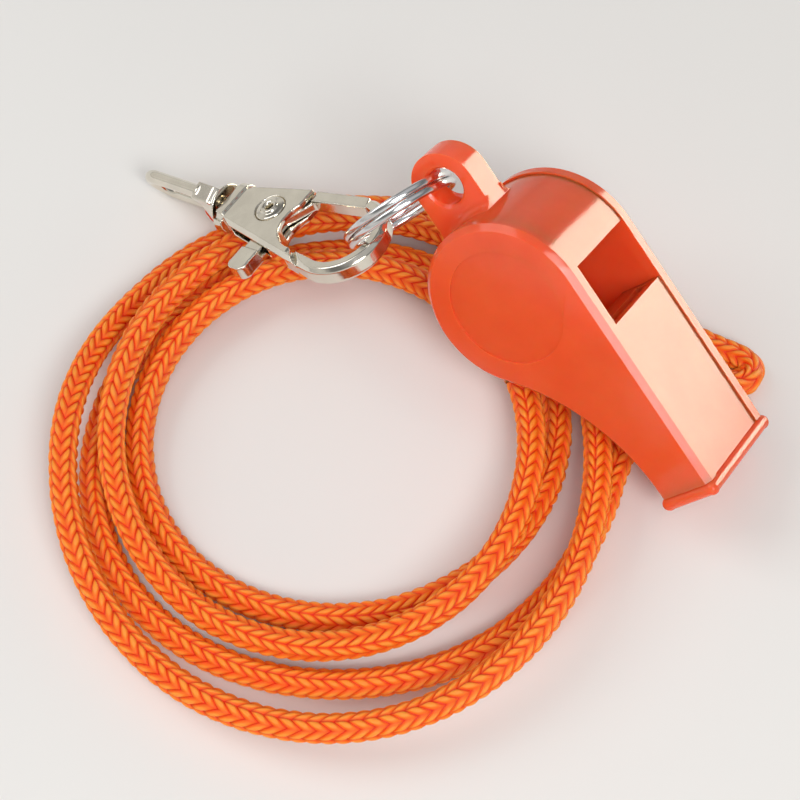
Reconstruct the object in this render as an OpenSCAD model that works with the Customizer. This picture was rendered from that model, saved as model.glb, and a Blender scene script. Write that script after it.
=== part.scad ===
// Dog whistle on a wound lanyard: whistle, split ring, trigger clasp with swivel eye, and knitted cord.
// Lengths in millimetres, Z up, the surface it rests on at Z = 0.

/* [Whistle] */
// outer diameter of the round chamber
chamber_d = 24.6; // [20:0.1:30]
// chamber middle to the end of the mouthpiece
mouth_l = 33.3; // [28:0.1:40]
// height of the mouthpiece at its end
mouth_h = 8.9; // [7:0.1:11]
// width between the two cheeks
inner_w = 13.7; // [12:0.1:17]
// thickness of one cheek
cheek_t = 2.2; // [1.8:0.1:3]
// wall of the chamber
wall_t = 1.6; // [1.3:0.1:2]
// how far the cheek rims stand proud of the middle
rim_step = 0.3; // [0.15:0.05:1]
// chamfer round the outer edge of a cheek
rim_chamfer = 0.8; // [0.3:0.1:1]
// diameter of the shallow disc sunk in each cheek
recess_d = 17; // [13:0.2:19]
// depth of that disc
recess_t = 0.3; // [0.2:0.05:0.5]
// length of the sound window along the top
window_l = 9.3; // [7.5:0.1:10]
// roof over the windway
roof_t = 1.5; // [1.2:0.1:1.8]
// height of the windway
windway_h = 2; // [1.5:0.1:2.4]
// rounded bead round the mouth end
bead_t = 1.9; // [1.3:0.1:2.4]
// chamber middle to the middle of the lug hole
lug_reach = 17; // [16:0.1:20]
// hole in the lug
lug_hole_d = 5.5; // [4.8:0.1:6.5]
// width of the lug across its hole
lug_w = 10.2; // [9.4:0.1:13]
// thickness of the lug
lug_t = 4.2; // [3.5:0.1:5]
// hollow fillet at the root of the lug
lug_fillet = 1.6; // [1:0.1:2]
// cork pea loose in the chamber
pea_d = 10.5; // [9.8:0.1:11]

/* [Split ring] */
// outer diameter of the ring
ring_d = 17.2; // [16.4:0.1:19]
// wire of the ring
ring_wire = 1.15; // [0.9:0.05:1.3]

/* [Clasp] */
// thickness of the clasp body
body_t = 3.5; // [3.4:0.1:4.2]
// one side plate of the body
plate_t = 0.9; // [0.8:0.05:1]
// outer radius of the hook bow
bow_r = 7.1; // [6.8:0.1:8]
// width of the bow bar
bow_w = 1.8; // [1.6:0.1:2.5]
// thickness of the bow bar
bow_t = 3.1; // [2.2:0.1:3.2]
// width of the gate bar
gate_w = 2; // [1.7:0.1:2.4]
// thickness of the gate bar and thumb tab
gate_t = 2.2; // [1.9:0.1:2.8]
// shank of the trigger rivet
rivet_d = 2.7; // [2.4:0.1:3]
// flange of the trigger rivet
flange_d = 4.5; // [4.2:0.1:5]
// bevel along the long edge of the body
edge_cut = 0.9; // [0.4:0.1:1.2]
// bar of the swivel eye
eye_bar = 2; // [1.8:0.1:2.4]
// free width inside the swivel eye
eye_gap = 3.7; // [3.4:0.1:4.4]
// collar of the body to the tip of the eye
eye_reach = 18; // [16:0.1:20]
// radial clearance of the turning fits
fit_gap = 0.06; // [0.03:0.01:0.1]

/* [Cord] */
// diameter of the knitted cord
cord_d = 4.2; // [3.6:0.1:4.6]
// height step from the lower to the upper loops where they cross
coil_rise = 4.8; // [4.4:0.1:5.6]
// thin tie between the cord and the swivel eye
tie_d = 0.9; // [0.7:0.1:1.2]
// sleeve that joins the two cord ends
sleeve_d = 4.6; // [4.4:0.1:5.4]
// length of that sleeve
sleeve_l = 6; // [5:0.5:8]

/* [Hidden] */
$fn = 64;
plastic = [0.93, 0.34, 0.18];
nickel = [0.75, 0.74, 0.71];
steel = [0.62, 0.63, 0.65];
cork = [0.72, 0.53, 0.33];
knit = [0.97, 0.4, 0.12];

// middle of the footprint in the layout numbers below
mid_x = 6.75;
mid_y = 7.6;

// whistle
chamber_r = chamber_d / 2;
cavity_r = chamber_r - rim_step - wall_t;
body_top = chamber_r - rim_step;
windway_z = body_top - roof_t - windway_h;
window_x = -0.4;
window_end = window_x + window_l;
window_z = sqrt(max(1, cavity_r * cavity_r - window_end * window_end)) - 0.2;
end_z = chamber_r - mouth_h;
arc_x = mouth_l - 0.6;
arc_r = (arc_x * arc_x + end_z * end_z - chamber_r * chamber_r) / (2 * (chamber_r + end_z));
arc_z = end_z - arc_r;
arc_a = atan2(-arc_z, -arc_x);
touch_k = chamber_r / (chamber_r + arc_r);
lug_z = -3;
lug_r = lug_w / 2;
lug_high = asin((lug_r + lug_z) / body_top);
lug_low = asin((lug_r - lug_z) / body_top);
half_w = inner_w / 2 + cheek_t;
pea_orbit = cavity_r - pea_d / 2 - 0.3;
whistle_at = [18.5, 7.5, 20.55];
whistle_turn = [-25.6, 34.7, -47];

// split ring
ring_r = (ring_d - ring_wire) / 2;
ring_step = ring_wire / 2 + 0.02;
ring_at = [0, 16.6, 23.15];
ring_turn = [0, 67.6, 125.2];

// clasp: X from the eye to the hook, Y to the gate, top of the body at Z = 0
clasp_at = [-18.6, 21.85, 15.2];
clasp_turn = [4.5, -27.4, -38.7];
mid_z = -body_t / 2;
bow_z = -0.08 - bow_t / 2;
slot_t = body_t - 2 * plate_t;
hook_end = 20;
bow_x = hook_end - bow_r + bow_w;
tip_x = 15.2;
rivet_y = 0.6;
gate_r = norm([tip_x, bow_r - bow_w - rivet_y]) - 0.15;
rivet_r = rivet_d / 2;
trigger_t = slot_t - 0.3;
spring_r = rivet_r + 0.45;
spring_wire = 0.5;
collar_x = -8.6;
wall_x = -5.5;
post_r = 1;
head_r = 1.42;
eye_turn = -70;
eye_tilt = 2.4;
eye_r = (eye_gap + eye_bar) / 2;
eye_x = collar_x - eye_reach + eye_bar / 2 + eye_r;

// cord
coil_from = 0.42;
coil_to = 4.075;
loop_rings = 24;
coil_rings = round((coil_to - coil_from) * loop_rings);
cord_z = cord_d / 2;
function fold(u) = u < 1.75 ? u : u > 2.25 ? sqrt(pow(4 - u, 2) + 0.001) : u - 2 * pow(u - 1.75, 2);
function even(x) = x + 1.3 / (4 * PI) * sin(720 * x);
function ease(x) = x < 0 ? 0 : x > 1 ? 1 : x * x * (3 - 2 * x);
function swell(s) = (sqrt(s * s + 0.01) - 0.1) / 0.905;
function dip(k, u, at, w) = k * exp(-pow((u - at) / w, 2));
function lift(u, a) =
    coil_rise * (0.46 + 0.54 * swell(sin(a - 55))) * ease((u - 1.75) / 0.5)
    * (1 - ease((u - 3.9) / 0.13)) * (1 - dip(0.45, u, 3.31, 0.08) - dip(0.06, u, 3.08, 0.06));
function sway(u) =
    dip(0.8, u, 1.65, 0.12) + dip(0.9, u, 2.65, 0.12) + dip(1.4, u, 3.63, 0.11)
    - dip(0.8, u, 3.4, 0.08) - dip(0.7, u, 0.66, 0.1) - dip(1.9, u, 0.44, 0.1);
function coil_at(u) =
    let (a = 145 - 360 * u)
    let (w = 2 - even(fold(u)))
    let (out = (7.9 + 1.76 * pow(cos(a - 68), 2)) * w + sway(u))
    [
        -9.8 + 1.78 * w + (24.7 + out) * cos(a) - mid_x,
        -6.8 - 1.67 * w + (24.4 + out) * sin(a) - mid_y,
        cord_z + lift(u, a)
    ];
coil_route = [for (i = [0 : coil_rings]) coil_at(coil_from + (coil_to - coil_from) * i / coil_rings)];
coil_start = coil_route[0];
coil_end = coil_route[coil_rings];
start_dir = unit(coil_route[1] - coil_start);
end_dir = unit(coil_end - coil_route[coil_rings - 1]);
lead_start = coil_end + sleeve_l * end_dir;
lead_mid = [
    [-9, 31.4], [-1, 31], [7, 29.4], [15.5, 27.2], [24, 24.4], [31.5, 19.4], [37, 13.6], [41.3, 9.4],
    [45.4, 7], [48, 5.7], [49.3, 4.4], [49.4, 3], [48.4, 1.85], [46.6, 1.5],
    [43.2, 1.5], [39.5, 1.4], [36.4, 0.8], [32.8, -1.1], [31, -5.1]
];
lead_route = concat(
    [lead_start, lead_start + cord_d * end_dir],
    [for (p = lead_mid) [p[0] - mid_x, p[1] - mid_y, cord_z]],
    [coil_start - cord_d * start_dir, coil_start]
);

// thin tie in the frame of the swivel eye: out of the sleeve, round one bar and back
tie_route = [
    [-13.6, 4.9, -2.5], [-14.4, 4.05, -2.1], [-14.9, 2.85, -1.68], [-14.95, 1.67, -1.2], [-14.95, 1.2, 0],
    [-14.95, 1.67, 1.2], [-14.9, 2.85, 1.68], [-14.7, 4, 1.1], [-14.2, 4.9, 0.2], [-13.2, 5.85, -0.75]
];

function unit(v) = v / norm(v);
function to_line(p, a, b) =
    let (t = ((p - a) * (b - a)) / ((b - a) * (b - a)))
    norm(p - a - (b - a) * max(0, min(1, t)));
coil_gap = min([
    for (i = [0 : coil_rings])
    for (j = [0 : coil_rings - 1])
    if (abs(i - j) > 6) to_line(coil_route[i], coil_route[j], coil_route[j + 1])
]) - cord_d;
echo(coil_gap = coil_gap);

// round tube along a route
module tube(route, d, sides, ref = [0, 0, 1]) {
    n = len(route);
    rings = [
        for (i = [0 : n - 1])
        let (t = unit(route[min(i + 1, n - 1)] - route[max(i - 1, 0)]))
        let (s = unit(cross(t, ref)))
        let (w = cross(s, t))
        for (k = [0 : sides - 1])
        route[i] + d / 2 * (cos(360 * k / sides) * s + sin(360 * k / sides) * w)
    ];
    walls = [
        for (i = [0 : n - 2])
        for (k = [0 : sides - 1])
        let (a = i * sides + k)
        let (b = i * sides + (k + 1) % sides)
        each [[a, a + sides, b], [b, a + sides, b + sides]]
    ];
    first = [for (k = [0 : sides - 1]) k];
    last = [for (k = [sides - 1 : -1 : 0]) (n - 1) * sides + k];
    polyhedron(points = rings, faces = concat(walls, [first, last]));
}

module at_whistle() {
    translate(whistle_at - [mid_x, mid_y, 0]) rotate(whistle_turn) children();
}

module at_clasp() {
    translate(clasp_at - [mid_x, mid_y, 0]) rotate(clasp_turn) children();
}

module at_ring() {
    translate(ring_at - [mid_x, mid_y, 0]) rotate(ring_turn) children();
}

// side view of the whistle in X and Y, drawn s inside its outline and t thick
module side_block(s, t) {
    cylinder(r = chamber_r - s, h = t);
    difference() {
        linear_extrude(t) polygon([
            [0, 0], [0, chamber_r - s], [mouth_l, chamber_r - s],
            [mouth_l, end_z - 1], [arc_x * touch_k, arc_z * touch_k]
        ]);
        translate([arc_x, arc_z, -1]) cylinder(r = arc_r + s + 0.05, h = t + 2);
    }
}

// one cheek, outline in X and Y, outer face upwards
module cheek() {
    c = rim_chamfer;
    difference() {
        side_block(0, cheek_t);
        translate([0, 0, cheek_t - recess_t]) cylinder(d = recess_d, h = 1);
        rotate([0, 0, 90]) rotate_extrude(angle = arc_a + 90)
            polygon([
                [chamber_r - c, cheek_t], [chamber_r - c, cheek_t + 1],
                [chamber_r + 1, cheek_t + 1], [chamber_r + 1, cheek_t - c - 1]
            ]);
        rotate([90, 0, 90]) linear_extrude(mouth_l + 1)
            polygon([
                [chamber_r - c, cheek_t], [chamber_r - c, cheek_t + 1],
                [chamber_r + 1, cheek_t + 1], [chamber_r + 1, cheek_t - c - 1]
            ]);
        translate([arc_x, arc_z]) rotate([0, 0, 86]) rotate_extrude(angle = arc_a - 86)
            polygon([
                [arc_r + c, cheek_t], [arc_r + c, cheek_t + 1],
                [arc_r - 1, cheek_t + 1], [arc_r - 1, cheek_t - c - 1]
            ]);
    }
}

module near_cheek() {
    color(plastic) at_whistle() translate([0, -inner_w / 2, 0]) rotate([90, 0, 0]) cheek();
}

module far_cheek() {
    color(plastic) at_whistle() mirror([0, 1, 0])
        translate([0, -inner_w / 2, 0]) rotate([90, 0, 0]) cheek();
}

// rounded bead across the mouth end
module mouth_bead() {
    r = bead_t / 2;
    low = end_z - 0.3 + r;
    high = chamber_r + 0.3 - r;
    side = half_w + 0.3 - r;
    inset = 0.4;
    translate([mouth_l, inset - half_w, end_z + inset])
        cube([r, 2 * (half_w - inset), mouth_h - 2 * inset]);
    translate([mouth_l, -side, low]) cube([bead_t - 0.05, 2 * side, high - low]);
    for (z = [low, high])
        translate([mouth_l + r, 0, z]) rotate([90, 0, 0]) cylinder(r = r, h = 2 * side, center = true);
    for (y = [-side, side])
        translate([mouth_l + r, y, low]) cylinder(r = r, h = high - low);
    for (y = [-side, side])
        for (z = [low, high])
            translate([mouth_l + r + 0.05, y, z]) sphere(r = r + 0.05);
}

// hollow fillet along one side of the lug, round the chamber wall
module lug_root() {
    rotate([90, 0, 0]) rotate([0, 0, 180 - lug_high]) rotate_extrude(angle = lug_high + lug_low)
        difference() {
            translate([body_top - 0.4, lug_t / 2 - 0.3]) square([lug_fillet + 0.4, lug_fillet + 0.3]);
            translate([body_top + lug_fillet, lug_t / 2 + lug_fillet]) circle(r = lug_fillet);
        }
}

module centre_body() {
    color(plastic) at_whistle() difference() {
        union() {
            translate([0, inner_w / 2, 0]) rotate([90, 0, 0]) side_block(rim_step, inner_w);
            rotate([90, 0, 0]) linear_extrude(lug_t, center = true) {
                translate([-lug_reach, lug_z]) circle(r = lug_r);
                translate([-lug_reach, lug_z - lug_r]) square([lug_reach - 6, lug_w]);
            }
            for (side = [0, 1])
                mirror([0, side, 0]) lug_root();
            mouth_bead();
        }
        rotate([90, 0, 0]) cylinder(r = cavity_r, h = inner_w + 1, center = true);
        translate([window_x, -inner_w / 2 - 1, window_z]) cube([window_l, inner_w + 2, chamber_r]);
        translate([window_x, -inner_w / 2 + 1.1, windway_z]) cube([mouth_l + 5, inner_w - 2.2, windway_h]);
        translate([-lug_reach, 0, lug_z]) rotate([90, 0, 0]) {
            cylinder(d = lug_hole_d, h = lug_t + 1, center = true);
            for (side = [0, 180])
                rotate([side, 0, 0]) translate([0, 0, lug_t / 2 - 0.5])
                    cylinder(d1 = lug_hole_d - 0.2, d2 = lug_hole_d + 1.4, h = 0.8);
        }
    }
}

module pea() {
    color(cork) at_whistle()
        translate([pea_orbit * 0.609, inner_w / 2 - pea_d / 2 - 0.3, -pea_orbit * 0.793]) sphere(d = pea_d);
}

module split_ring() {
    color(steel) at_ring() {
        rotate([0, 0, 17]) rotate_extrude(angle = 343)
            translate([ring_r, ring_step]) circle(d = ring_wire);
        rotate([0, 0, 14]) rotate_extrude(angle = 340)
            translate([ring_r, -ring_step]) circle(d = ring_wire);
        rotate([0, 0, 7]) translate([ring_r, 0, 0])
            rotate([-90 + atan2(2 * ring_step, ring_r * 0.23), 0, 0])
            translate([0, 0, -1.35]) cylinder(d = ring_wire, h = 2.7);
    }
}

// plan of the hook bow and the limb that carries it
module bow_plan() {
    in_r = bow_r - bow_w;
    difference() {
        union() {
            translate([bow_x, 0]) circle(r = bow_r);
            polygon([[4, -5.2], [5.9, -5.7], [9.7, -6.4], [13.4, 0.12 - bow_r], [bow_x, 0], [4, 0]]);
        }
        translate([bow_x, 0]) circle(r = in_r);
        translate([8.4, 0]) circle(r = 4.6);
        polygon([[8.4, -4.6], [bow_x, -in_r], [bow_x, in_r], [8.4, 4.6]]);
        translate([-5, -0.5]) square([tip_x + 5, 12]);
    }
}

module clasp_frame() {
    color(nickel) at_clasp() difference() {
        union() {
            translate([0, 0, -body_t]) linear_extrude(body_t) difference() {
                polygon([
                    [-7.1, -2.9], [-7.1, 2.5], [-6, 3.3], [4.5, 5.6], [4.5, -1],
                    [8.6, -4.4], [9, -6.3], [5.9, -5.7], [-5.3, -3.8]
                ]);
                translate([8.4, 0]) circle(r = 4.6);
            }
            translate([0, 0, bow_z - bow_t / 2]) linear_extrude(bow_t) bow_plan();
            translate([collar_x, -2.25, mid_z - 1.75]) cube([1.6, 4.5, 3.8]);
            for (y = [-2.25, 2.25])
                translate([collar_x, y, mid_z + 0.15]) rotate([0, 90, 0]) cylinder(r = 1.9, h = 1.6);
        }
        translate([wall_x, -12, mid_z - slot_t / 2]) cube([9.7, 24, slot_t]);
        translate([4, -1, mid_z - slot_t / 2]) cube([3, 9, slot_t]);
        for (z = [0, -body_t])
            translate([-5.3, -3.8, z]) rotate([0, 0, -9.6]) rotate([45, 0, 0])
                cube([40, edge_cut, edge_cut], center = true);
        translate([0, rivet_y, -body_t - 1]) cylinder(r = rivet_r + 0.03, h = body_t + 2);
        for (z = [-0.3, -body_t - 0.7])
            translate([0, rivet_y, z]) cylinder(d = flange_d + 0.3, h = 1);
        translate([collar_x - 1, 0, mid_z]) rotate([0, 90, 0]) cylinder(r = post_r + fit_gap, h = 5);
        translate([wall_x - 0.01, 0, mid_z]) rotate([0, 90, 0]) cylinder(r = head_r + 0.08, h = 1);
        for (side = [0, 180])
            translate([bow_x, 0, bow_z]) rotate([side, 0, 0]) rotate_extrude()
                polygon([
                    [bow_r - 0.6, bow_t / 2], [bow_r - 0.6, bow_t / 2 + 0.4],
                    [bow_r + 0.4, bow_t / 2 + 0.4], [bow_r + 0.4, bow_t / 2 - 1]
                ]);
    }
}

// blade, gate and thumb tab in one outline, the gate not yet cut to length
module trigger_blank() {
    translate([0, 0, mid_z - trigger_t / 2]) linear_extrude(trigger_t) {
        translate([0, rivet_y]) circle(r = 2.9);
        polygon([[-1, 3], [5.2, 5.95], [5.4, 4.2], [2.8, 0]]);
        polygon([[0, -1], [0, -9], [3.3, -9], [2.8, 0]]);
    }
    translate([4.8, 5, mid_z]) rotate([0, 0, 8])
        translate([0, -gate_w / 2, -gate_t / 2]) cube([tip_x - 5, gate_w, gate_t]);
    translate([0, -9, mid_z - gate_t / 2]) cube([3.3, 2.8, gate_t]);
    translate([1.15, -10.15, mid_z - gate_t / 2]) cube([1, 2, gate_t]);
    for (x = [1.15, 2.15])
        translate([x, -9, mid_z - gate_t / 2]) cylinder(r = 1.2, h = gate_t);
}

module trigger() {
    color(nickel) at_clasp() difference() {
        intersection() {
            trigger_blank();
            translate([0, rivet_y, -body_t]) cylinder(r = gate_r, h = body_t);
        }
        translate([0, rivet_y, -body_t]) cylinder(r = rivet_r + fit_gap, h = body_t);
        translate([0, rivet_y, mid_z - trigger_t / 2 + 0.7]) cylinder(r = spring_r + 0.45, h = 2);
        translate([-4, rivet_y - 3.5, mid_z - trigger_t / 2 + 0.7]) cube([4, 7, 2]);
    }
}

module trigger_rivet() {
    color(nickel) at_clasp() translate([0, rivet_y, 0]) difference() {
        union() {
            translate([0, 0, -body_t]) cylinder(r = rivet_r, h = body_t);
            for (z = [-0.3, -body_t - 0.1])
                translate([0, 0, z]) cylinder(d = flange_d, h = 0.4);
        }
        translate([0, 0, -body_t - 1]) cylinder(r = rivet_r - 0.5, h = body_t + 2);
    }
}

module trigger_spring() {
    z = mid_z + trigger_t / 2 - 0.3;
    color(steel) at_clasp() {
        translate([0, rivet_y, z]) rotate([0, 0, -200]) rotate_extrude(angle = 290)
            translate([spring_r, 0]) circle(d = spring_wire);
        translate([wall_x, rivet_y + spring_r, z]) rotate([0, 90, 0])
            cylinder(d = spring_wire, h = -wall_x);
    }
}

// eye turned about its post and lifted a little at its tip
module at_eye() {
    at_clasp() translate([collar_x, 0, mid_z]) rotate([0, eye_tilt, 0]) translate([-collar_x, 0, 0])
        rotate([eye_turn, 0, 0]) children();
}

module swivel_eye() {
    color(nickel) at_clasp() translate([0, 0, mid_z]) {
        translate([-9.8, 0, 0]) rotate([0, 90, 0]) cylinder(r = post_r, h = 5.1);
        translate([wall_x + 0.1, 0, 0]) rotate([0, 90, 0]) cylinder(r = head_r, h = 0.7);
    }
    color(nickel) at_eye() {
        translate([0, 0, -1.35]) linear_extrude(2.7)
            polygon([
                [-9.5, -2.6], [-9.5, 2.6], [-10.3, 3.5], [-13.7, eye_r + 0.8],
                [-13.7, -eye_r - 0.8], [-10.3, -3.5]
            ]);
        translate([-13.4, 0, 0]) rotate([0, 90, 0]) cylinder(r1 = 1.7, r2 = 3.3, h = 3.9);
        for (y = [-eye_r, eye_r])
            translate([eye_x, y, 0]) rotate([0, 90, 0]) cylinder(d = eye_bar, h = -13 - eye_x);
        translate([eye_x, 0, 0]) rotate([0, 0, 90]) rotate_extrude(angle = 180)
            translate([eye_r, 0]) circle(d = eye_bar);
    }
}

module cord_lead() {
    color(knit) tube(lead_route, cord_d, 8);
}

module cord_coil() {
    color(knit) tube(coil_route, cord_d, 6);
}

module cord_sleeve() {
    color(knit) translate([coil_end[0], coil_end[1], sleeve_d / 2])
        rotate([0, 90, atan2(end_dir[1], end_dir[0])]) cylinder(d = sleeve_d, h = sleeve_l);
}

module eye_loop() {
    color(knit) at_eye() tube(tie_route, tie_d, 8, [1, 0, 0]);
}

near_cheek();
centre_body();
far_cheek();
pea();
split_ring();
clasp_frame();
trigger();
trigger_rivet();
trigger_spring();
swivel_eye();
cord_lead();
cord_coil();
cord_sleeve();
eye_loop();
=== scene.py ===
import math

import bpy
import numpy as np
from mathutils import Matrix, Vector


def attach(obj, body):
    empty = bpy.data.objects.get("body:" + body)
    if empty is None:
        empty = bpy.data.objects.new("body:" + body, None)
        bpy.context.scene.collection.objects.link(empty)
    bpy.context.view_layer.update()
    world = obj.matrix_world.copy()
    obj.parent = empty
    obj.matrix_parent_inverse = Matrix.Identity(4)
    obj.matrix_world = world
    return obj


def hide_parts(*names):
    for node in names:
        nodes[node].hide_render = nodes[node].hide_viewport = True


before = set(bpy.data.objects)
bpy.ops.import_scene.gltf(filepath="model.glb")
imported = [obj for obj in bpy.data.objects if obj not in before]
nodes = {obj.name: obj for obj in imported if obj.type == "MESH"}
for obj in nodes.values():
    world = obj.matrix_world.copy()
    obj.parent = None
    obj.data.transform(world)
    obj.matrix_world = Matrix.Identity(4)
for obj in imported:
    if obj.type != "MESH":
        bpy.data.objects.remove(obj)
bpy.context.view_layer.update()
scene = bpy.context.scene
MM = 0.001

# Layout numbers shared with the CAD source, in millimetres and degrees.
MID = np.array([6.75, 7.6, 0.0])  # the layout point that lies at the frame's origin
CORD_D, TIE_D = 4.2, 0.9
SLEEVE_D, SLEEVE_L = 4.6, 6.0
CLASP_AT = np.array([-18.6, 21.85, 15.2]) - MID
CLASP_TURN = (4.5, -27.4, -38.7)
BODY_T, RIVET_Y, COLLAR_X = 3.5, 0.6, -8.6
EYE_TURN, EYE_TILT = -70, 2.4
MID_Z = -BODY_T / 2
RING_AT = np.array([0, 16.6, 23.15]) - MID
RING_TURN = (0, 67.6, 125.2)
RING_OUTER_D, RING_WIRE = 17.2, 1.15
RING_R = (RING_OUTER_D - RING_WIRE) / 2

# The coil winds inward on the floor for two turns, then outward on top of itself.
# Places along it are in turns.
COIL_FROM, COIL_TO, COIL_TURNS, COIL_RINGS = 0.42, 4.075, 4, 24
FOLD_FROM, FOLD_TO = 1.75, 2.25  # where the winding turns from inward to outward
FALL_FROM, FALL_SPAN = 3.9, 0.13  # where the last strand drops to the floor
COIL_ANGLE = 145
COIL_AT, COIL_R = (-9.8, -6.8), (24.7, 24.4)
COIL_DRIFT = (1.78, -1.67)  # shift of the centre from strand to strand
WIND_WAVE = 1.3
STRAND_STEP, STEP_WAVE, STEP_ANGLE = 7.9, 1.76, 68
COIL_RISE, RISE_LEAST, RISE_ANGLE = 4.8, 0.46, 55
SAGS = [(-0.45, 3.31, 0.08), (-0.06, 3.08, 0.06)]  # share of the rise, place, width
SWAYS = [
    (0.8, 1.65, 0.12), (0.9, 2.65, 0.12), (1.4, 3.63, 0.11),
    (-0.8, 3.4, 0.08), (-0.7, 0.66, 0.1), (-1.9, 0.44, 0.1),
]
# The lead runs behind the whistle, out to the right and back into the coil.
LEAD_MID = [
    (-9, 31.4), (-1, 31), (7, 29.4), (15.5, 27.2), (24, 24.4), (31.5, 19.4), (37, 13.6), (41.3, 9.4),
    (45.4, 7), (48, 5.7), (49.3, 4.4), (49.4, 3), (48.4, 1.85), (46.6, 1.5),
    (43.2, 1.5), (39.5, 1.4), (36.4, 0.8), (32.8, -1.1), (31, -5.1),
]
CORD_GRIP = 1.5  # how far each cord end goes into the sleeve
ROUTE_STEP, TIE_STEP, PATH_STEP = 0.2, 0.12, 2
# The tie goes from the sleeve round the eye's lower bar, in the eye's own axes.
TIE = [
    (-13.6, 4.9, -2.5), (-14.4, 4.05, -2.1), (-14.9, 2.85, -1.68), (-14.95, 1.67, -1.2), (-14.95, 1.2, 0),
    (-14.95, 1.67, 1.2), (-14.9, 2.85, 1.68), (-14.7, 4, 1.1), (-14.2, 4.9, 0.2), (-13.2, 5.85, -0.75),
]

# Knitted cord, in millimetres, in stitch columns and in steps of each stitch.
PITCH, DEPTH = 1.85, 0.66
COLUMNS, LEG_STEPS, STITCH_STEPS = 4, 8, 9
SLANT = 1.0  # how many stitches one leg of a V runs along
TWIST_LENGTH, TWIST_SWING, TWIST_WAVE = 62.0, 0.9, 47.0  # millimetres per radian, and a slow swing about that
LEAF = [(0, 0.5), (0.25, 0.74), (0.5, 0.93), (0.72, 1), (0.87, 0.8), (1, 0.12)]  # height from root to tip

# Turned outlines in millimetres, each mirrored at its middle: the sleeve's (along the axis, radius) and the
# eyelet's (radius, along the axis).
SLEEVE_HALF = [
    (0, 1.5), (0, 1.95), (0, 2.1), (0.12, 2.24), (0.4, SLEEVE_D / 2), (0.95, SLEEVE_D / 2),
    (1.15, 2.2), (1.35, SLEEVE_D / 2), (2.75, SLEEVE_D / 2),
]
SLEEVE_WAIST = 2.22
EYELET_HALF = [
    (0.62, 0), (0.62, 1.95), (0.7, 2.14), (0.93, 2.25), (1.08, 2.28), (1.22, 2.22), (1.31, 2.1),
    (1.38, 1.95), (1.5, 1.9), (2.0, 1.86), (2.16, 1.8), (2.24, 1.68), (2.25, 1.5), (1.35, 1.46),
]

# Camera, in the frame's millimetres: 60 degrees down along +Y at the layout's origin, as the photo was taken.
CAMERA_AT = (-MID[0], -172.5 - MID[1], 298.8)
CAMERA_AIM = (-MID[0], -MID[1], 0)
SENSOR, LENS = 36, 109.98

# Lamps, in metres: name, place, aim, size, watts, colour, seen in reflections only.
WHITE, WARM = (1, 1, 1), (1, 0.93, 0.74)
LAMPS = [
    ("key", (0.22, -0.52, 0.56), (0, 0, 0.01), (0.3, 0.255), 2.2, WHITE, False),
    ("front", (0.04, -0.44, 0.72), (0, 0, 0.01), (0.3, 0.3), 1.7, WHITE, False),
    ("fill", (-0.45, 0.1, 0.45), (0, 0, 0.01), (0.4, 0.4), 1.2, WHITE, False),
    ("card", (0.455, 0.3, 0.135), (0.01, 0, 0.02), (0.34, 0.26), 3.4, WARM, True),
]
FLOOR_HALF = 1.6


def make_camera():
    data = bpy.data.cameras.new("camera")
    data.sensor_width = SENSOR
    data.lens = LENS
    data.clip_start, data.clip_end = 0.01, 20
    cam = bpy.data.objects.new("camera", data)
    scene.collection.objects.link(cam)
    cam.location = Vector(CAMERA_AT) * MM
    look = Vector(CAMERA_AIM) * MM - cam.location
    cam.rotation_euler = look.to_track_quat("-Z", "Y").to_euler()
    scene.camera = cam


# Routes.
def turned(*degrees):
    """The rotation that OpenSCAD's rotate() gives for three angles."""
    rx, ry, rz = (math.radians(v) for v in degrees)
    return np.array(Matrix.Rotation(rz, 3, "Z") @ Matrix.Rotation(ry, 3, "Y") @ Matrix.Rotation(rx, 3, "X"))


def unit(v):
    return v / np.linalg.norm(v)


def ease(x):
    x = min(1.0, max(0.0, x))
    return x * x * (3 - 2 * x)


def swells(rows, u):
    """Sum of rounded humps, each given by its height, place and width."""
    return sum(k * math.exp(-(((u - at) / w) ** 2)) for k, at, w in rows)


def coil_at(u):
    """The point of the coil that is u turns along it."""
    a = COIL_ANGLE - 360 * u
    if u < FOLD_FROM:
        f = u
    elif u > FOLD_TO:
        f = math.sqrt((COIL_TURNS - u) ** 2 + 0.001)  # stays above 0 at the last turn, without a corner
    else:
        f = u - (u - FOLD_FROM) ** 2 / (FOLD_TO - FOLD_FROM)
    strand = 2 - (f + WIND_WAVE / (4 * math.pi) * math.sin(math.radians(720 * f)))
    s = math.sin(math.radians(a - RISE_ANGLE))
    soft, full = 0.1, 0.905  # rounds the corner of |s| and brings its top back to 1
    apart = (math.sqrt(s * s + soft * soft) - soft) / full
    lift = COIL_RISE * (RISE_LEAST + (1 - RISE_LEAST) * apart)
    lift *= ease((u - FOLD_FROM) / (FOLD_TO - FOLD_FROM)) * (1 - ease((u - FALL_FROM) / FALL_SPAN))
    lift *= 1 + swells(SAGS, u)
    step = STRAND_STEP + STEP_WAVE * math.cos(math.radians(a - STEP_ANGLE)) ** 2
    out = step * strand + swells(SWAYS, u)
    x = COIL_AT[0] + COIL_DRIFT[0] * strand + (COIL_R[0] + out) * math.cos(math.radians(a))
    y = COIL_AT[1] + COIL_DRIFT[1] * strand + (COIL_R[1] + out) * math.sin(math.radians(a))
    return np.array([x, y, CORD_D / 2 + lift]) - MID


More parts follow.
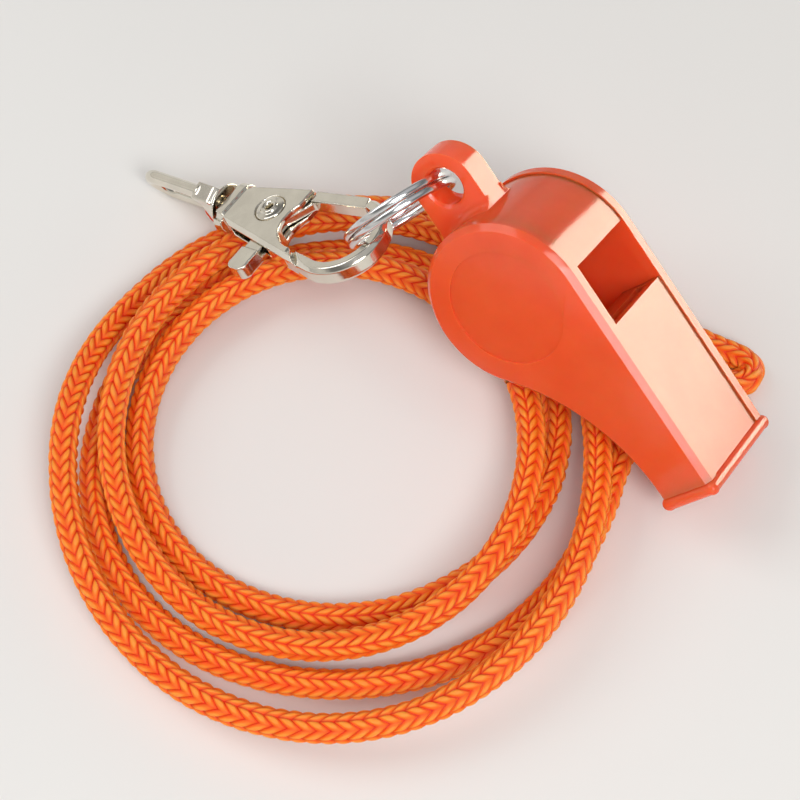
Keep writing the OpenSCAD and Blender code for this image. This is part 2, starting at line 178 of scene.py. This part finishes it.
def cord_points():
    """The lanyard's route, out of the sleeve, round the lead and the coil and back into the sleeve."""
    rings = round((COIL_TO - COIL_FROM) * COIL_RINGS)
    cad = [coil_at(COIL_FROM + (COIL_TO - COIL_FROM) * i / rings) for i in range(rings + 1)]
    start_dir, end_dir = unit(cad[1] - cad[0]), unit(cad[-1] - cad[-2])
    lead_start = cad[-1] + SLEEVE_L * end_dir
    pts = [lead_start - CORD_GRIP * end_dir, lead_start, lead_start + CORD_D * end_dir]
    pts += [np.array([x, y, CORD_D / 2]) - MID for x, y in LEAD_MID]
    pts += [cad[0] - CORD_D * start_dir]
    fine = rings * 2
    pts += [coil_at(COIL_FROM + (COIL_TO - COIL_FROM) * i / fine) for i in range(fine + 1)]
    pts += [cad[-1] + CORD_GRIP * end_dir]
    return np.array(pts), cad[-1], end_dir


def smooth_route(pts, step):
    """A centripetal Catmull-Rom curve through the points, resampled every step."""
    p = np.vstack([2 * pts[0] - pts[1], pts, 2 * pts[-1] - pts[-2]])
    out = []
    for i in range(1, len(p) - 2):
        a, b, c, d = p[i - 1], p[i], p[i + 1], p[i + 2]
        t0 = 0.0
        t1 = t0 + np.linalg.norm(b - a) ** 0.5
        t2 = t1 + np.linalg.norm(c - b) ** 0.5
        t3 = t2 + np.linalg.norm(d - c) ** 0.5
        t = np.linspace(t1, t2, 24, endpoint=False)[:, None]
        a1 = (t1 - t) / (t1 - t0) * a + (t - t0) / (t1 - t0) * b
        a2 = (t2 - t) / (t2 - t1) * b + (t - t1) / (t2 - t1) * c
        a3 = (t3 - t) / (t3 - t2) * c + (t - t2) / (t3 - t2) * d
        b1 = (t2 - t) / (t2 - t0) * a1 + (t - t0) / (t2 - t0) * a2
        b2 = (t3 - t) / (t3 - t1) * a2 + (t - t1) / (t3 - t1) * a3
        out.append((t2 - t) / (t2 - t1) * b1 + (t - t1) / (t2 - t1) * b2)
    fine = np.vstack(out + [p[-2][None]])
    s = np.concatenate([[0], np.cumsum(np.linalg.norm(np.diff(fine, axis=0), axis=1))])
    at = np.linspace(0, s[-1], int(s[-1] / step) + 1)
    return np.stack([np.interp(at, s, fine[:, k]) for k in range(3)], 1), at


def sides_along(route, ref):
    """Two side vectors at each point of a route, which don't twist about it."""
    t = np.gradient(route, axis=0)
    t /= np.linalg.norm(t, axis=1)[:, None]
    n = np.zeros_like(t)
    n[0] = unit(np.cross(t[0], ref))
    for i in range(1, len(t)):
        v = n[i - 1] - t[i] * (n[i - 1] @ t[i])
        n[i] = v / np.linalg.norm(v)
    return n, np.cross(t, n)


# Meshes.
def link(mesh, name):
    obj = bpy.data.objects.new(name, mesh)
    scene.collection.objects.link(obj)
    return obj


def mesh_from(name, verts, faces, smooth=True):
    mesh = bpy.data.meshes.new(name)
    mesh.from_pydata([tuple(v) for v in verts], [], faces)
    mesh.validate()
    if smooth:
        mesh.polygons.foreach_set("use_smooth", [True] * len(mesh.polygons))
    mesh.update()
    return mesh


def knitted_tube(route, at):
    """A tube whose rings run along the stitches, so that every V is in the mesh.

    Gives the points, each point's height in its stitch, the faces as point numbers, each face corner's place
    along the thread, and the numbers of the two end rings."""
    side_at, up_at = sides_along(route, np.array([0, 0, 1.0]))
    length = at[-1]
    around = COLUMNS * 2 * LEG_STEPS
    spoke = np.arange(around)
    in_column = spoke % (2 * LEG_STEPS)
    leg = np.minimum(in_column, 2 * LEG_STEPS - in_column) / LEG_STEPS
    last = math.ceil((length / PITCH + SLANT + 1) * STITCH_STEPS)
    rows = np.arange(-STITCH_STEPS, last + 1)
    along = (rows[:, None] / STITCH_STEPS - SLANT * (1 - leg) - spoke / around) * PITCH
    across = 2 * (rows % STITCH_STEPS) / STITCH_STEPS - 1
    ridge = (1 - across**2) ** 0.5
    height = ridge[:, None] * np.interp(leg, *zip(*LEAF))
    s = np.clip(along, 0, length)
    lines = (route, side_at, up_at)
    centre, side, up = (np.stack([np.interp(s, at, line[:, c]) for c in range(3)], -1) for line in lines)
    twist = 2 * math.pi * spoke / around + s / TWIST_LENGTH + TWIST_SWING * np.sin(s / TWIST_WAVE)
    # The thickness is uneven by about 2%, and never more than the cord's size.
    uneven = 1 + 0.012 * np.sin(s / 3.1 + 2 * np.sin(s / 17)) + 0.01 * np.sin(s * 0.9 + 1.7)
    radius = (CORD_D / 2 - DEPTH * (1 - height)) * np.minimum(uneven, 1.0)
    outward = np.cos(twist)[..., None] * side + np.sin(twist)[..., None] * up
    co = (centre + radius[..., None] * outward) * MM
    # Rows past an end of the cord fall on that end's ring.
    ids = np.arange(len(rows) * around).reshape(len(rows), around)
    ids = np.where(along <= 0, ids[0][None], ids)
    ids = np.where(along >= length, ids[-1][None], ids)
    quads, marks = [], []
    for c in range(around):
        if c + 1 < around:
            low, high = rows[:-1], rows[1:]
            a0, a1, b0, b1 = ids[:-1, c], ids[1:, c], ids[:-1, c + 1], ids[1:, c + 1]
        else:
            # The rings are one stitch further along after a full turn.
            low, high = rows[: -STITCH_STEPS - 1], rows[1:-STITCH_STEPS]
            a0, a1 = ids[: -STITCH_STEPS - 1, c], ids[1:-STITCH_STEPS, c]
            b0, b1 = ids[STITCH_STEPS:-1, 0], ids[STITCH_STEPS + 1 :, 0]
        quads.append(np.stack([a0, b0, b1, a1], 1))
        marks.append(np.stack([low, low, high, high], 1))
    return co.reshape(-1, 3), height.reshape(-1), np.vstack(quads), np.vstack(marks), (ids[0], ids[-1])


def build_cord():
    """The lanyard, with its path, length in metres, and where the coil ends and points."""
    pts, coil_end, end_dir = cord_points()
    route, at = smooth_route(pts, ROUTE_STEP)
    co, height, quads, marks, ends = knitted_tube(route, at)
    used, verts, tops = {}, [], []
    faces, threads = [], []

    def kept(i):
        if i not in used:
            used[i] = len(verts)
            verts.append(tuple(co[i]))
            tops.append(height[i])
        return used[i]

    for quad, mark in zip(quads.tolist(), marks.tolist()):
        corners, places = [], []
        for i, place in zip(quad, mark):
            if i not in corners:
                corners.append(i)
                places.append(place)
        if len(corners) > 2:
            faces.append([kept(i) for i in corners])
            threads.extend(places)
    for ring, order in zip(ends, (-1, 1)):
        faces.append([kept(int(i)) for i in ring][::order])
        threads.extend([0] * len(ring))
    mesh = bpy.data.meshes.new("lanyard_cord")
    mesh.from_pydata(verts, [], faces)
    top = mesh.attributes.new("stitch_top", "FLOAT", "POINT")
    top.data.foreach_set("value", np.array(tops, np.float32))
    thread = mesh.attributes.new("thread", "FLOAT", "CORNER")
    thread.data.foreach_set("value", np.array(threads, np.float32) / STITCH_STEPS)
    mesh.polygons.foreach_set("use_smooth", [True] * len(mesh.polygons))
    mesh.update()
    picks = np.linspace(0, len(route) - 1, int(at[-1] / PATH_STEP)).round().astype(int)
    return link(mesh, "lanyard_cord"), route[picks] * MM, float(at[-1]) * MM, coil_end, end_dir


def swept(name, route, ref, profile):
    """A capped tube along a route; profile(i, count) gives ring i's points as (side, up) pairs."""
    n, b = sides_along(route, ref)
    verts, faces = [], []
    count = len(route)
    rings = [profile(i, count) for i in range(count)]
    sides = len(rings[0])
    for i in range(count):
        verts.extend((route[i] + x * n[i] + y * b[i]) * MM for x, y in rings[i])
    for i in range(count - 1):
        for k in range(sides):
            a, c = i * sides + k, i * sides + (k + 1) % sides
            faces.append([a, c, c + sides, a + sides])
    faces.append(list(range(sides))[::-1])
    faces.append([(count - 1) * sides + k for k in range(sides)])
    return link(mesh_from(name, verts, faces), name)


def lathed(name, rings, sides, point):
    """A closed outline turned about an axis; point(ring, angle) gives a place in millimetres."""
    verts, faces = [], []
    for ring in rings:
        verts.extend(point(ring, 2 * math.pi * k / sides) * MM for k in range(sides))
    for i in range(len(rings)):
        up = (i + 1) % len(rings) * sides
        for k in range(sides):
            after = (k + 1) % sides
            faces.append([i * sides + k, i * sides + after, up + after, up + k])
    return link(mesh_from(name, verts, faces), name)


def build_tie():
    """Thin twisted tie from the sleeve round the eye's lower bar."""
    clasp, tilt = turned(*CLASP_TURN), turned(0, EYE_TILT, 0)
    collar = np.array([COLLAR_X, 0, 0])
    base = CLASP_AT + clasp @ (np.array([0, 0, MID_Z]) + collar - tilt @ collar)
    eye = clasp @ tilt @ turned(EYE_TURN, 0, 0)
    pts = np.array([base + eye @ np.array(p) for p in TIE])
    route, at = smooth_route(pts, TIE_STEP)

    def profile(i, count):
        a = np.linspace(0, 2 * math.pi, 24, endpoint=False)
        r = TIE_D / 2 * (0.8 + 0.2 * np.abs(np.cos(1.5 * (a + at[i] * 2.4))))
        return np.stack([r * np.cos(a), r * np.sin(a)], 1)

    return swept("eye_tie", route, eye[:, 0], profile)


def build_sleeve(coil_end, end_dir):
    """Crimped joining sleeve, turned about the cord."""
    x = unit(np.array([end_dir[0], end_dir[1], 0]))
    y, z = np.array([-x[1], x[0], 0]), np.array([0, 0, 1.0])
    base = np.array([coil_end[0], coil_end[1], SLEEVE_D / 2])

    def point(ring, a):
        return base + ring[0] * x + ring[1] * (math.cos(a) * y + math.sin(a) * z)

    outline = SLEEVE_HALF + [(SLEEVE_L / 2, SLEEVE_WAIST)] + [(SLEEVE_L - d, r) for d, r in SLEEVE_HALF[::-1]]
    return lathed("cord_joint", outline, 48, point)


def build_ring():
    """Split ring as one wire wound twice, with the step between its turns."""
    m = turned(*RING_TURN)
    step = RING_WIRE / 2 + 0.02
    start, wound, step_at, step_span = 16, 704, 354, 24  # degrees round the ring
    a = np.linspace(start, start + wound, 420)
    z = np.array([step * (1 - 2 * ease((x - step_at) / step_span)) for x in a])
    flat = np.stack([RING_R * np.cos(np.radians(a)), RING_R * np.sin(np.radians(a)), z], 1)

    def profile(i, count):
        k = np.linspace(0, 2 * math.pi, 20, endpoint=False)
        from_end = min(i, count - 1 - i)
        r = 0.985 * RING_WIRE / 2 * (0.72 + 0.28 * min(1.0, from_end / 2.0) ** 0.5)
        c, s = np.cos(k), np.sin(k)
        flatter = 0.8
        return r * np.stack([np.sign(c) * np.abs(c) ** flatter, np.sign(s) * np.abs(s) ** flatter], 1)

    return swept("split_ring_wire", flat @ m.T + RING_AT, m[:, 2], profile)


def build_eyelet():
    """Tubular rivet with a rolled rim at both ends, turned about the trigger's axis."""
    outline = [(r, -z) for r, z in EYELET_HALF] + EYELET_HALF[:0:-1]
    m = turned(*CLASP_TURN)
    base = CLASP_AT + m @ np.array([0, RIVET_Y, MID_Z])

    def point(ring, a):
        return base + m @ np.array([ring[0] * math.cos(a), ring[0] * math.sin(a), ring[1]])

    return lathed("rivet_eyelet", outline, 64, point)


# Materials.
def tree_of(name):
    mat = bpy.data.materials.new(name)
    mat.use_nodes = True
    return mat, mat.node_tree, mat.node_tree.nodes["Principled BSDF"]


def put(nt, kind, **values):
    """A new node, with each value set on its input of that name or else on the node."""
    node = nt.nodes.new(kind)
    for key, value in values.items():
        if key in node.inputs:
            node.inputs[key].default_value = value
        else:
            setattr(node, key, value)
    return node


def math_node(nt, operation, *inputs):
    """A math node whose inputs are numbers or other nodes' outputs."""
    node = put(nt, "ShaderNodeMath", operation=operation)
    for socket, value in zip(node.inputs, inputs):
        if isinstance(value, (int, float)):
            socket.default_value = value
        else:
            nt.links.new(value, socket)
    return node.outputs["Value"]


def noise(nt, scale, detail=4.0, rough=0.5):
    tex = nt.nodes.new("ShaderNodeTexCoord")
    node = put(nt, "ShaderNodeTexNoise", Scale=scale, Detail=detail, Roughness=rough)
    nt.links.new(tex.outputs["Object"], node.inputs["Vector"])
    return node.outputs["Fac"]


def ramp(nt, source, stops, target):
    """Colours along a value, led to the target socket."""
    node = nt.nodes.new("ShaderNodeValToRGB")
    el = node.color_ramp.elements
    el[0].position, el[0].color = stops[0][0], (*stops[0][1], 1)
    el[1].position, el[1].color = stops[-1][0], (*stops[-1][1], 1)
    for pos, col in stops[1:-1]:
        el.new(pos).color = (*col, 1)
    nt.links.new(source, node.inputs["Fac"])
    nt.links.new(node.outputs["Color"], target)


def span(nt, source, low, high):
    node = nt.nodes.new("ShaderNodeMapRange")
    node.inputs["To Min"].default_value = low
    node.inputs["To Max"].default_value = high
    nt.links.new(source, node.inputs["Value"])
    return node.outputs["Result"]


def bump(nt, shader, source, strength, distance):
    node = put(nt, "ShaderNodeBump", Strength=strength, Distance=distance)
    nt.links.new(source, node.inputs["Height"])
    nt.links.new(node.outputs["Normal"], shader.inputs["Normal"])


def plastic_material():
    """Glossy moulded plastic that lets some light through."""
    mat, nt, sh = tree_of("whistle_plastic")
    dark, light = (0.84, 0.095, 0.026), (0.9, 0.115, 0.034)
    ramp(nt, noise(nt, 140, 3), [(0.3, dark), (0.7, light)], sh.inputs["Base Color"])
    nt.links.new(span(nt, noise(nt, 2600), 0.1, 0.18), sh.inputs["Roughness"])
    sh.inputs["IOR"].default_value = 1.52
    sh.inputs["Subsurface Weight"].default_value = 1.0
    sh.inputs["Subsurface Radius"].default_value = (1.0, 0.16, 0.06)
    sh.inputs["Subsurface Scale"].default_value = 0.0055
    sh.inputs["Specular IOR Level"].default_value = 0.38
    bump(nt, sh, noise(nt, 420, 2), 0.06, 0.0002)
    return mat


def metal_material(name, low, high, rough, scratch):
    """Plated metal with cloudy colour, uneven polish and fine scratches."""
    mat, nt, sh = tree_of(name)
    sh.inputs["Metallic"].default_value = 1.0
    ramp(nt, noise(nt, 260, 5), [(0.3, low), (0.7, high)], sh.inputs["Base Color"])
    fine = noise(nt, 1500, 6, 0.6)
    nt.links.new(span(nt, fine, *rough), sh.inputs["Roughness"])
    bump(nt, sh, fine, scratch, 0.00005)
    return mat


def cork_material():
    mat, nt, sh = tree_of("cork")
    cells = noise(nt, 900, 6, 0.65)
    stops = [(0.32, (0.18, 0.09, 0.035)), (0.5, (0.47, 0.25, 0.1)), (0.7, (0.62, 0.38, 0.17))]
    ramp(nt, cells, stops, sh.inputs["Base Color"])
    sh.inputs["Roughness"].default_value = 0.85
    bump(nt, sh, cells, 0.5, 0.0002)
    return mat


def knit_material():
    """Orange yarn with painted light: painted shade in deep red between the stitches, a painted highlight in
    pale orange on their tops, and fibres along each stitch.
    """
    mat, nt, sh = tree_of("knitted_cord")
    top = put(nt, "ShaderNodeAttribute", attribute_name="stitch_top")
    shade = math_node(nt, "MULTIPLY_ADD", noise(nt, 300, 3), 0.3, top.outputs["Fac"])
    # Colour follows height in the stitch: painted shade in deep red in the creases, painted highlight in pale
    # orange on the tops.
    stops = [
        (0.15, (0.85, 0.018, 0.003)), (0.5, (0.9, 0.09, 0.006)),
        (0.85, (0.95, 0.19, 0.01)), (1.15, (1.0, 0.31, 0.035)),
    ]
    ramp(nt, shade, stops, sh.inputs["Base Color"])
    sh.inputs["Roughness"].default_value = 0.46
    sh.inputs["Specular IOR Level"].default_value = 0.3
    sh.inputs["Subsurface Weight"].default_value = 0.35
    sh.inputs["Subsurface Radius"].default_value = (1.0, 0.25, 0.06)
    sh.inputs["Subsurface Scale"].default_value = 0.0009
    fibres, wander = 7, 4.0
    thread = put(nt, "ShaderNodeAttribute", attribute_name="thread")
    across = math_node(nt, "MULTIPLY", thread.outputs["Fac"], 2 * math.pi * fibres)
    wavy = math_node(nt, "MULTIPLY_ADD", noise(nt, 1200, 3), wander, across)
    bump(nt, sh, math_node(nt, "SINE", wavy), 0.35, 0.00006)
    return mat


def tie_material():
    mat, nt, sh = tree_of("tie_cord")
    cloud = noise(nt, 900)
    ramp(nt, cloud, [(0.3, (0.8, 0.05, 0.008)), (0.7, (0.95, 0.14, 0.016))], sh.inputs["Base Color"])
    sh.inputs["Roughness"].default_value = 0.5
    bump(nt, sh, cloud, 0.4, 0.00008)
    return mat


def dress(obj, mat):
    obj.data.materials.clear()
    obj.data.materials.append(mat)


# CAD nodes keep their meshes; modifiers soften their edges.
def rounded(obj, width):
    """Rounds the sharp edges of a moulded CAD node."""
    weld = obj.modifiers.new("weld", "WELD")
    weld.merge_threshold = 2e-6
    bev = obj.modifiers.new("round", "BEVEL")
    bev.width = width * MM
    bev.segments = 3
    bev.limit_method = "ANGLE"
    bev.angle_limit = math.radians(32)
    bev.use_clamp_overlap = True
    bev.harden_normals = False
    normals = obj.modifiers.new("normals", "WEIGHTED_NORMAL")
    normals.keep_sharp = False
    normals.weight = 60


def tumbled(obj, passes):
    """Softens every edge of a cast CAD node, as tumbling does."""
    grid = obj.modifiers.new("grid", "REMESH")
    grid.mode = "VOXEL"
    grid.voxel_size = 0.09 * MM
    grid.use_smooth_shade = True
    soft = obj.modifiers.new("soften", "SMOOTH")
    soft.factor = 0.5
    soft.iterations = passes


# Floor and light.
def build_floor():
    corners = [(x * FLOOR_HALF, y * FLOOR_HALF, 0) for x, y in ((-1, -1), (1, -1), (1, 1), (-1, 1))]
    floor = link(mesh_from("floor", corners, [[0, 1, 2, 3]], False), "floor")
    mat, nt, sh = tree_of("floor")
    stops = [(0.3, (0.78, 0.765, 0.74)), (0.7, (0.81, 0.795, 0.77))]
    ramp(nt, noise(nt, 6, 3), stops, sh.inputs["Base Color"])
    sh.inputs["Roughness"].default_value = 0.7
    dress(floor, mat)


def build_sky():
    """Pale surroundings with an uneven darker band, so that polished metal shows contrast."""
    world = bpy.data.worlds.new("world")
    scene.world = world
    world.use_nodes = True
    nt = world.node_tree
    back = nt.nodes["Background"]
    tex = nt.nodes.new("ShaderNodeTexCoord")
    sep = nt.nodes.new("ShaderNodeSeparateXYZ")
    nt.links.new(tex.outputs["Generated"], sep.inputs[0])
    uneven = put(nt, "ShaderNodeTexNoise", Scale=1.6, Detail=1.0)
    nt.links.new(tex.outputs["Generated"], uneven.inputs["Vector"])
    swing = 0.5
    lower = math_node(nt, "SUBTRACT", sep.outputs["Z"], swing / 2)
    height = math_node(nt, "MULTIPLY_ADD", uneven.outputs["Fac"], swing, lower)
    stops = [
        (0.0, (0.55, 0.54, 0.52)), (0.2, (0.72, 0.7, 0.66)), (0.35, (0.62, 0.6, 0.57)),
        (0.5, (0.2, 0.2, 0.2)), (0.7, (0.18, 0.18, 0.18)),
        (0.85, (0.5, 0.5, 0.51)), (1.0, (0.55, 0.56, 0.57)),
    ]
    ramp(nt, height, stops, back.inputs["Color"])
    back.inputs["Strength"].default_value = 1.0


def build_lamps():
    for name, place, aim, size, power, colour, reflected_only in LAMPS:
        data = bpy.data.lights.new(name, "AREA")
        data.shape = "RECTANGLE"
        data.size, data.size_y = size
        data.energy = power
        data.color = colour
        lamp = bpy.data.objects.new(name, data)
        scene.collection.objects.link(lamp)
        lamp.location = place
        look = Vector(aim) - Vector(place)
        lamp.rotation_euler = look.to_track_quat("-Z", "Y").to_euler()
        lamp.visible_diffuse = not reflected_only


make_camera()
cord, path, cord_length, coil_end, end_dir = build_cord()
joint = build_sleeve(coil_end, end_dir)
tie = build_tie()
wire = build_ring()
eyelet = build_eyelet()

plastic = plastic_material()
nickel = metal_material("clasp_nickel", (0.7, 0.66, 0.575), (0.81, 0.765, 0.67), (0.07, 0.15), 0.08)
steel = metal_material("ring_steel", (0.66, 0.66, 0.67), (0.8, 0.8, 0.8), (0.1, 0.22), 0.1)
spring = metal_material("spring_steel", (0.4, 0.4, 0.41), (0.55, 0.55, 0.56), (0.22, 0.36), 0.1)
knit, thin = knit_material(), tie_material()

for name, radius in (("near_cheek", 0.16), ("centre_body", 0.25), ("far_cheek", 0.16)):
    dress(nodes[name], plastic)
    rounded(nodes[name], radius)
for name, passes in (("clasp_frame", 14), ("trigger", 24), ("swivel_eye", 30)):
    dress(nodes[name], nickel)
    tumbled(nodes[name], passes)
dress(nodes["trigger_spring"], spring)
dress(nodes["pea"], cork_material())

for piece, material, body, slot, stands_for in (
    (cord, knit, "lanyard", "knitted_cord", ("cord_lead", "cord_coil")),
    (joint, thin, "lanyard", "knitted_cord", ("cord_sleeve",)),
    (tie, thin, "lanyard", "knitted_cord", ("eye_loop",)),
    (wire, steel, "ring", "ring_steel", ("split_ring",)),
    (eyelet, nickel, "clasp", "clasp_nickel", ("trigger_rivet",)),
):
    dress(piece, material)
    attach(piece, body)
    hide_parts(*stands_for)
tuple(path[0])
[tuple(p) for p in path]

build_floor()
build_sky()
build_lamps()
scene.view_settings.view_transform = "Standard"

bpy.context.view_layer.update()
